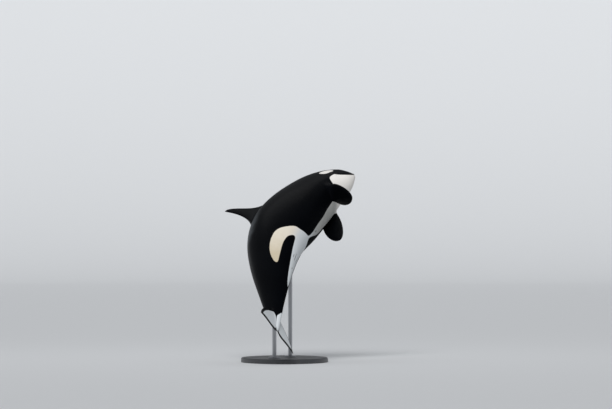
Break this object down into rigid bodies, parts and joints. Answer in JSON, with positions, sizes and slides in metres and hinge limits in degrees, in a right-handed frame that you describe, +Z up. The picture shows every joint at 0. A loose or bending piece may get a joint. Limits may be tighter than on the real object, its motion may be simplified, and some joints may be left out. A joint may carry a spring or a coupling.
{
  "type": "life-size orca display model",
  "caption": "Life-size still model of a leaping orca, bent towards its belly, with dorsal fin, flippers and flukes, held above an oval base by upright rods.",
  "frame": {"origin": "middle of the stand's flat underside", "axes": "+Z up, the animal's head climbs towards +X and +Y, its tail comes down towards -Y, its right side and belly face -Y"},
  "size_m": [2.8765, 4.8969, 4.2249],
  "materials": {
    "black_skin": "smooth wet sheen",
    "white_skin": "smooth wet sheen",
    "eye": "high gloss",
    "stand_steel": "satin",
    "stand_base": "satin dark paint"
  },
  "bodies": {
    "root": {"head": "black_skin", "lower_jaw": "white_skin", "eye_right": "eye", "eye_left": "eye", "chest": "black_skin", "torso": "black_skin", "abdomen": "black_skin", "tail_stock_front": "black_skin", "tail_stock_rear": "black_skin", "dorsal_fin": "black_skin", "flipper_right": "black_skin", "flipper_left": "black_skin", "fluke_right": "black_skin", "fluke_left": "black_skin", "stand_base": "stand_base", "stand_foot_front": "stand_steel", "stand_foot_rear": "stand_steel", "stand_rod_front": "stand_steel", "stand_rod_rear": "stand_steel", "stand_pad_front": "stand_steel", "stand_pad_rear": "stand_steel"}
  },
  "joints": []
}
